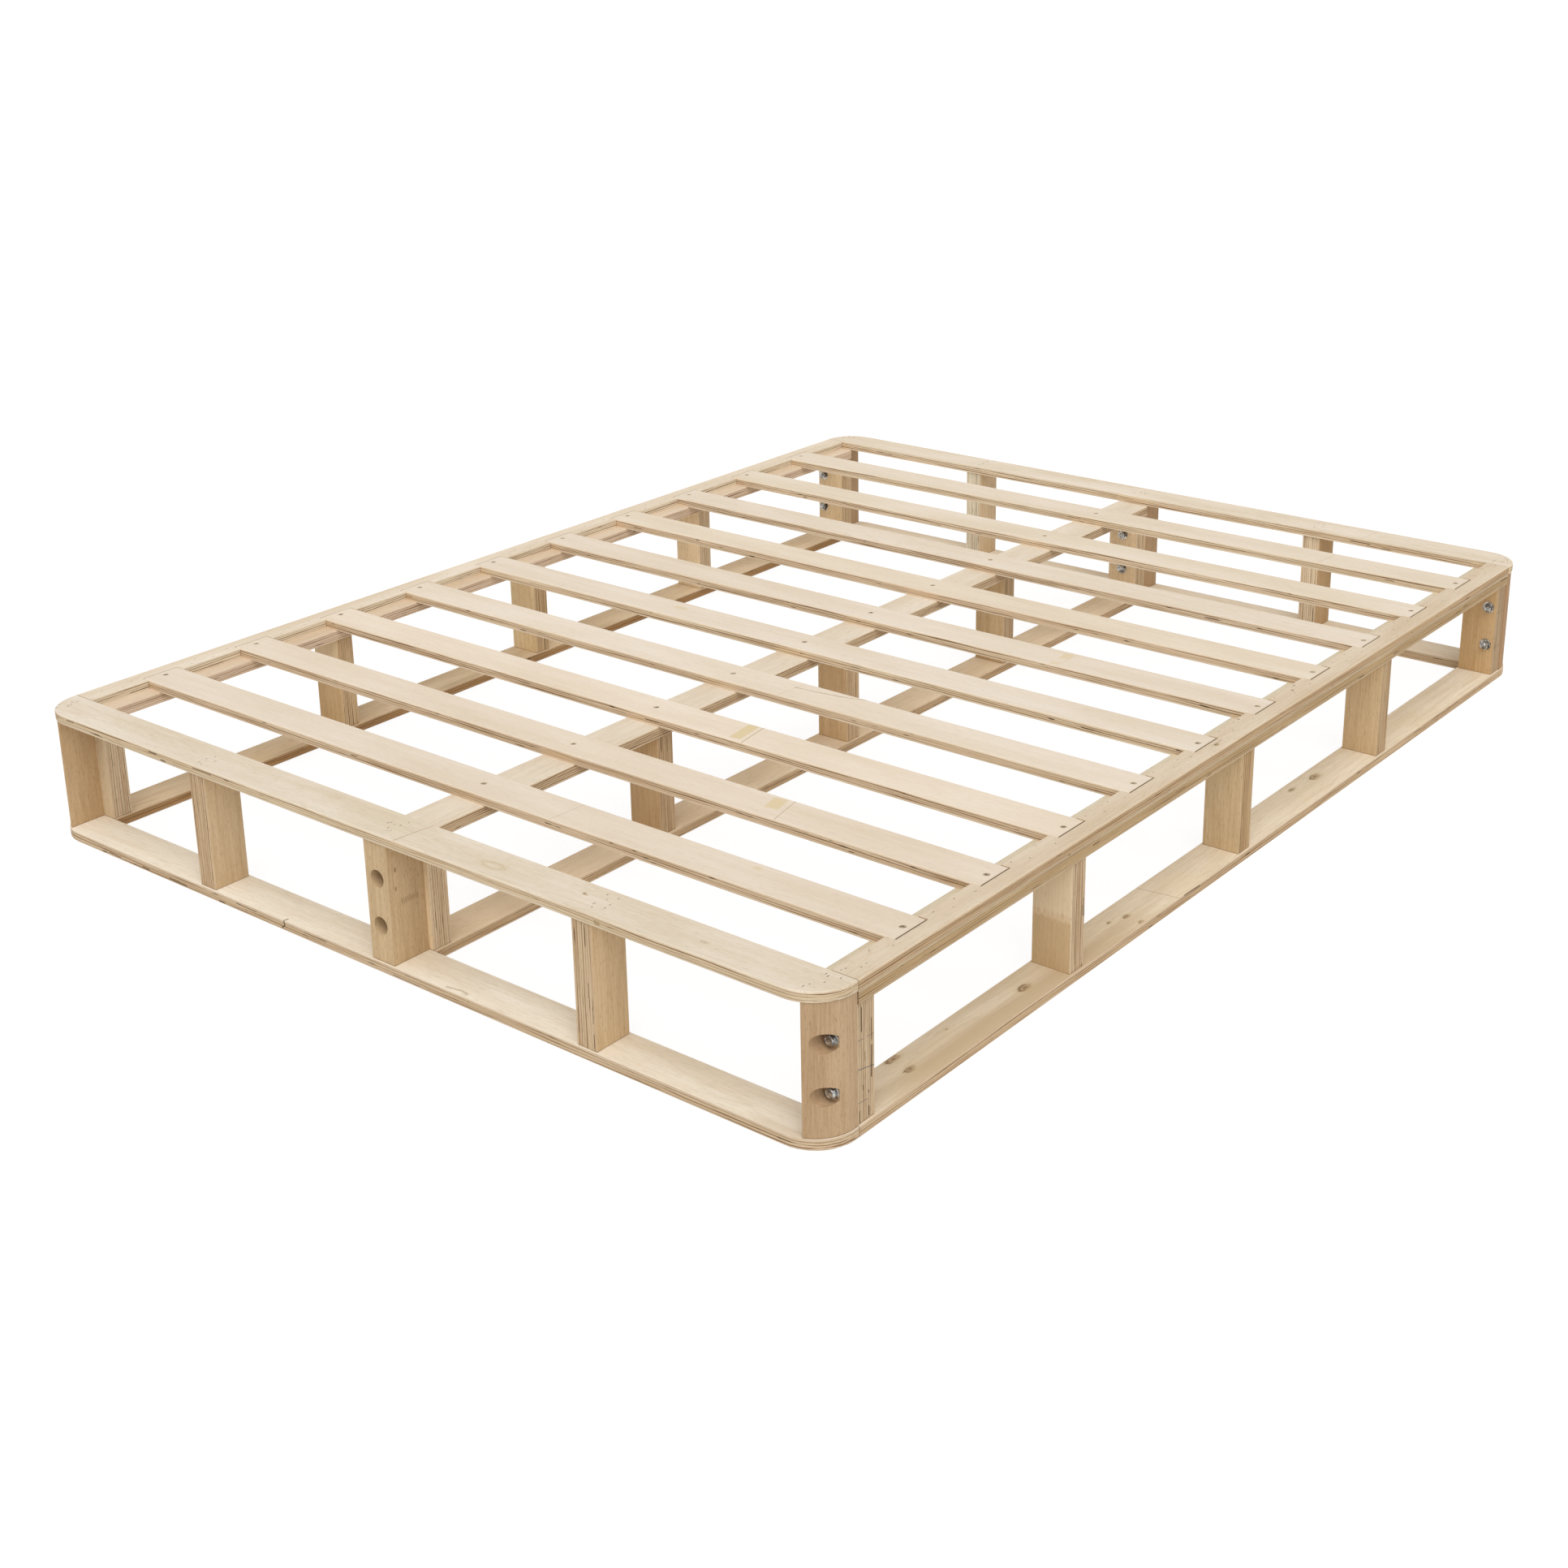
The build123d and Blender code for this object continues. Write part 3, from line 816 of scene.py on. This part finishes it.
screwZinc = zincFinish("screwZinc", screw["pale"], screw["dull"], screw["rough"])
screwMesh = manyOf(addScrew, screwPlaces(), "slatScrewSet")
addPiece("slatScrewSet", screwMesh, screwZinc, ["slat_screws"])
print("screws made")

bolt = {
    "flats": 13, "head": 5.3, "shank": 4, "core": 3.35, "length": 75.7, "pitch": 1.25,
    "perTurn": 6, "threaded": 24, "x": 745, "z": (71, 141), "seat": 979.6,
    "grip": 65.2,  # from the head's seat to the nut's: post, block and two washers
    # profiles: distances in from the chamfer's circle and along the bolt, or shares of its core
    "chamfer": 6.305, "slope": 0.5, "under": ((0.1, 0), (0, 0.15)), "flatsFrom": 0.3,
    "top": ((0, 0), (0.9, 0), (1.3, 0.25)), "play": 0.05, "inside": 1,
    "plainEnd": 1, "threadEnd": 0.9, "point": ((0.93, 0.45), (0.6, 0.12)), "points": 48,
    "pale": (0.60, 0.60, 0.58), "dull": (0.19, 0.18, 0.17), "rough": 0.16,
}
nut = {
    "height": 6.5, "bore": 4.1, "bevel": 0.5,
    "pale": (0.62, 0.59, 0.54), "dull": (0.12, 0.105, 0.09), "rough": 0.14,
}
washerArris = 0.2
hexAngles = [2 * math.pi * k / bolt["points"] for k in range(bolt["points"])]


def hexRing(z, slope=0):
    # a hexagon whose corners drop with their distance from the chamfer's circle
    sixth, ring = math.pi / 3, []
    for a in hexAngles:
        radius = bolt["flats"] / 2 / math.cos(a % sixth - sixth / 2)
        ring.append(polar(radius, a, z - (radius - bolt["chamfer"]) * slope))
    return ring


def addBolt(bm, place):
    b, half = bolt, hexAngles[::2]
    radius, h, low = b["chamfer"], b["head"], -b["length"]
    under = [(b["shank"], 0), *((radius - inset, z) for inset, z in b["under"])]
    top = [(radius - inset, h - drop) for inset, drop in b["top"]]
    flats = [hexRing(b["flatsFrom"]), hexRing(h, b["slope"])]
    addSolid(bm, turned(under, hexAngles) + flats + turned(top, hexAngles), 0, top[-1][1], place)

    plain, threadTop = b["shank"] - b["play"], b["threaded"] + low
    body = [(plain, b["inside"]), (plain, threadTop + b["plainEnd"])]
    point = [(b["core"] * share, low + up) for share, up in b["point"]]
    thread = threadRings(b["core"], b["shank"], b["threadEnd"] + low, threadTop, b["pitch"],
                         half, b["perTurn"])
    shank = turned(body, half) + thread[::-1] + turned(point, half)
    addSolid(bm, shank, b["inside"], low, place)


def addNut(bm, place):
    bore, edge, h = nut["bore"], nut["bevel"], nut["height"]
    near = [(bore, -edge), (bore + edge, 0), (bolt["chamfer"], 0)]
    far = [(radius, -h - z) for radius, z in near[::-1]]
    rim = hexRing(0, bolt["slope"])
    rims = [rim, [(x, y, -h - z) for x, y, z in rim]]
    addRings(bm, turned(near, hexAngles) + rims + turned(far, hexAngles), place, True)


def boltPlaces(inward):
    # the same twelve places for bolts and nuts, each facing out of its end of the bed
    draw = random.Random("bolts and nuts")
    for end in (-1, 1):
        for side in (-1, 0, 1):
            for z in bolt["z"]:
                out = Matrix.Rotation(-end * math.pi / 2, 4, "X")
                at = Vector((side * bolt["x"], end * (bolt["seat"] - inward), z))
                turn = Matrix.Rotation(draw.uniform(0, math.pi / 3), 4, "Z")
                yield Matrix.Translation(at) @ out @ turn


boltZinc = zincFinish("boltZinc", bolt["pale"], bolt["dull"], bolt["rough"])
nutZinc = zincFinish("nutZinc", nut["pale"], nut["dull"], nut["rough"])
boltMesh = manyOf(addBolt, boltPlaces(0), "hexBoltSet")
nutMesh = manyOf(addNut, boltPlaces(bolt["grip"]), "hexNutSet")
addPiece("hexBoltSet", boltMesh, boltZinc, ["hex_bolts"])
addPiece("hexNutSet", nutMesh, nutZinc, ["hex_nuts"])
for name, zinc in (("bolt_head_washers", boltZinc), ("nut_washers", nutZinc)):
    dress(nodes[name], zinc, washerArris)
print("bolts, nuts and washers made")

# staples that hold the boards to the posts and blocks

staple = {
    "crown": 8.5, "wire": 1.5, "proud": 0.05, "bury": 0.5, "turn": 90, "rough": 0.28,
    # half of a crown, in mm from its end or as a share of it, and how far each step has risen
    "bend": 0.5, "risen": 0.85, "flat": 0.3, "thinEnd": 0.55, "dive": 0.25,
    "shoulder": (0.7, 0.03),
    # the dark wire is partly painted shade: it stands in for the shade in the slots that these
    # staples sink into
    "wireAndPitShade": ((0.16, 0.13, 0.10), (0.09, 0.07, 0.05)),
    "pale": ((0.31, 0.23, 0.15), (0.18, 0.12, 0.08)),
}
# how far staples turn in degrees and stray in mm, and the share of a crown that shows
onEnds = {
    "turn": 25, "crown": (0.5, 0.9), "stray": (13, 20), "y": 980, "count": 7,
    "x": (-735, -381, 0, 381, 735),
}
onStrips = {
    "turn": 30, "crown": (0.5, 0.8), "stray": (3, 6), "x": 735, "aside": 7, "step": 26, "count": 4,
}
seen = {"turn": 18, "crown": (0.45, 0.85)}
seenPlaces = [
    # read from the photo on the front top board and the strip beside it
    (723, -960), (728, -963), (734, -977), (723, -991), (720, -999), (743, -958), (733, -936),
    (745.5, -922.5), (379, -962), (398, -962), (388, -972.5), (401, -980.5), (382.5, -990.5),
    (387, -998.5), (402, -991), (-6, -981), (-3, -978), (6, -980.5), (14, -977), (6, -991.5),
    (11.5, -998), (16, -996), (16.5, -964), (-382, -976.5), (-386, -989), (-385, -1002.5),
    (-377.5, -1005.5), (-368, -987),
]


def addStaple(bm, x, y, turn, share):
    # a crown of wire that lies along the bed, with ends that dive into the board
    s, half, w = staple, staple["crown"] * share / 2, staple["wire"] / 2
    turning = Matrix.Rotation(math.radians(s["turn"] + turn), 4, "Z")
    place = Matrix.Translation((x, y, bed["top"])) @ turning
    steps = [(half, 0.0), (half - s["bend"], s["risen"]), (half * s["flat"], 1)]
    inset, drop = s["shoulder"]
    rings = []
    for along, rise in [(-along, rise) for along, rise in steps] + steps[::-1]:
        r = w * (s["thinEnd"] + (1 - s["thinEnd"]) * rise)
        top = s["proud"] * rise - (1 - rise) * s["dive"]
        profile = [(-r, -s["bury"]), (-r * inset, top - drop), (0, top)]
        profile += [(-across, z) for across, z in profile[1::-1]]
        rings.append([(along, across, z) for across, z in profile])
    rows = addRings(bm, rings, place)
    bm.faces.new(rows[0])
    bm.faces.new(rows[-1][::-1])


def stray(reach):
    return draw.uniform(-reach, reach)


def strewStaple(bm, x, y, way):
    addStaple(bm, x, y, stray(way["turn"]), draw.uniform(*way["crown"]))


bm = bmesh.new()
draw = random.Random("staples")
for x, y in seenPlaces:
    strewStaple(bm, x, y, seen)
for end, x in ((-1, onEnds["x"][0]), *((1, x) for x in onEnds["x"])):
    for _ in range(onEnds["count"]):
        px, py = (at + stray(s) for at, s in zip((x, end * onEnds["y"]), onEnds["stray"]))
        strewStaple(bm, px, py, onEnds)
# these staples' dark colour is partly painted shade of their sunk slots
shadedStapleWire = zincFinish("shadedStapleWire", *staple["wireAndPitShade"], staple["rough"])
addPiece("boardStaples", meshFrom(bm, "boardStaples"), shadedStapleWire)
bm = bmesh.new()
for side in (-1, 1):
    for bay in range(bed["slats"] + 1):
        middleY = (bay - bed["slats"] / 2) * bed["slatPitch"]
        for k in range(onStrips["count"]):
            strayX, strayY = onStrips["stray"]
            aside = onStrips["aside"] if k % 2 else -onStrips["aside"]
            x = side * (onStrips["x"] + aside + stray(strayX))
            along = (k - (onStrips["count"] - 1) / 2) * onStrips["step"]
            strewStaple(bm, x, middleY + along + stray(strayY), onStrips)
paleWire = zincFinish("paleWire", *staple["pale"], staple["rough"])
addPiece("stripStaples", meshFrom(bm, "stripStaples"), paleWire)
print("staples made")

# floor, light and camera

stageLook = {
    "size": 60, "cells": 8, "shade": 0.16, "white": 0.87, "bounce": 0.9,
    "weave": (2.0, 3.0), "rough": 0.9, "roughSwing": 0.05,
}
light = {"sky": 0.49, "key": 1.92, "spread": 50, "from": (0.42, -0.48, 1.0)}


def grey(level):
    return level, level, level, 1


def whiteRays(f):
    rays = f.node("ShaderNodeLightPath", out="Is Camera Ray")
    glossy, through = rays.output("Is Glossy Ray"), rays.output("Is Transmission Ray")
    return rays.math("MAXIMUM", glossy).math("MAXIMUM", through)


f = Finish(bpy.data.materials.new("floorPaper"))
weave = f.noise(f.coordinate(), *stageLook["weave"])
lit = f.node("ShaderNodeBsdfPrincipled", values={
    "Base Color": grey(stageLook["shade"]), "Emission Color": grey(1),
    "Roughness": stageLook["rough"] + weave * stageLook["roughSwing"],
    "Emission Strength": stageLook["white"]})
plain = f.node("ShaderNodeBsdfDiffuse", values={"Color": grey(stageLook["bounce"])})
paper = f.surface(f.node("ShaderNodeMixShader", values=(whiteRays(f), plain, lit)))
bm = bmesh.new()
bmesh.ops.create_grid(bm, x_segments=stageLook["cells"], y_segments=stageLook["cells"],
                      size=stageLook["size"] / 2)
floorMesh = bpy.data.meshes.new("floor")
bm.to_mesh(floorMesh)
bm.free()
floorMesh.materials.append(paper)
floor = addObject("floor", floorMesh)

world = bpy.data.worlds.new("studio")
bpy.context.scene.world = world
sky = Finish(world)
dim, white = (sky.node("ShaderNodeBackground", values={"Color": grey(1), "Strength": strength})
              for strength in (light["sky"], 1.0))
both = sky.node("ShaderNodeMixShader", values=(whiteRays(sky), dim, white))
sky.surface(both, "ShaderNodeOutputWorld")
key = bpy.data.lights.new("softKey", "SUN")
key.energy, key.angle = light["key"], math.radians(light["spread"])
keyLamp = addObject("softKey", key)
keyLamp.rotation_euler = Vector(light["from"]).to_track_quat("Z", "Y").to_euler()

view = {
    "place": (2.1626, -2.7860, 1.4591), "azimuth": 39.277, "pitch": 19.497, "roll": 1.022,
    "lens": 51.787, "sensor": 36, "shift": -0.1, "reach": 200,
}
azimuth, pitch, roll = (math.radians(view[k]) for k in ("azimuth", "pitch", "roll"))
level = math.cos(pitch)
forward = Vector((-math.sin(azimuth) * level, math.cos(azimuth) * level, -math.sin(pitch)))
right = forward.cross(Vector((0, 0, 1))).normalized()
down = forward.cross(right)
facing = Matrix((
    math.cos(roll) * right + math.sin(roll) * down,
    math.sin(roll) * right - math.cos(roll) * down, -forward)).transposed()
camera = bpy.data.cameras.new("photoCamera")
camera.lens, camera.sensor_width, camera.shift_y = view["lens"], view["sensor"], view["shift"]
camera.clip_end = view["reach"]
cameraObject = addObject("photoCamera", camera)
cameraObject.matrix_world = Matrix.Translation(view["place"]) @ facing.to_4x4()
bpy.context.scene.camera = cameraObject
bpy.context.scene.view_settings.view_transform = "Standard"
print("stage, light and camera set")
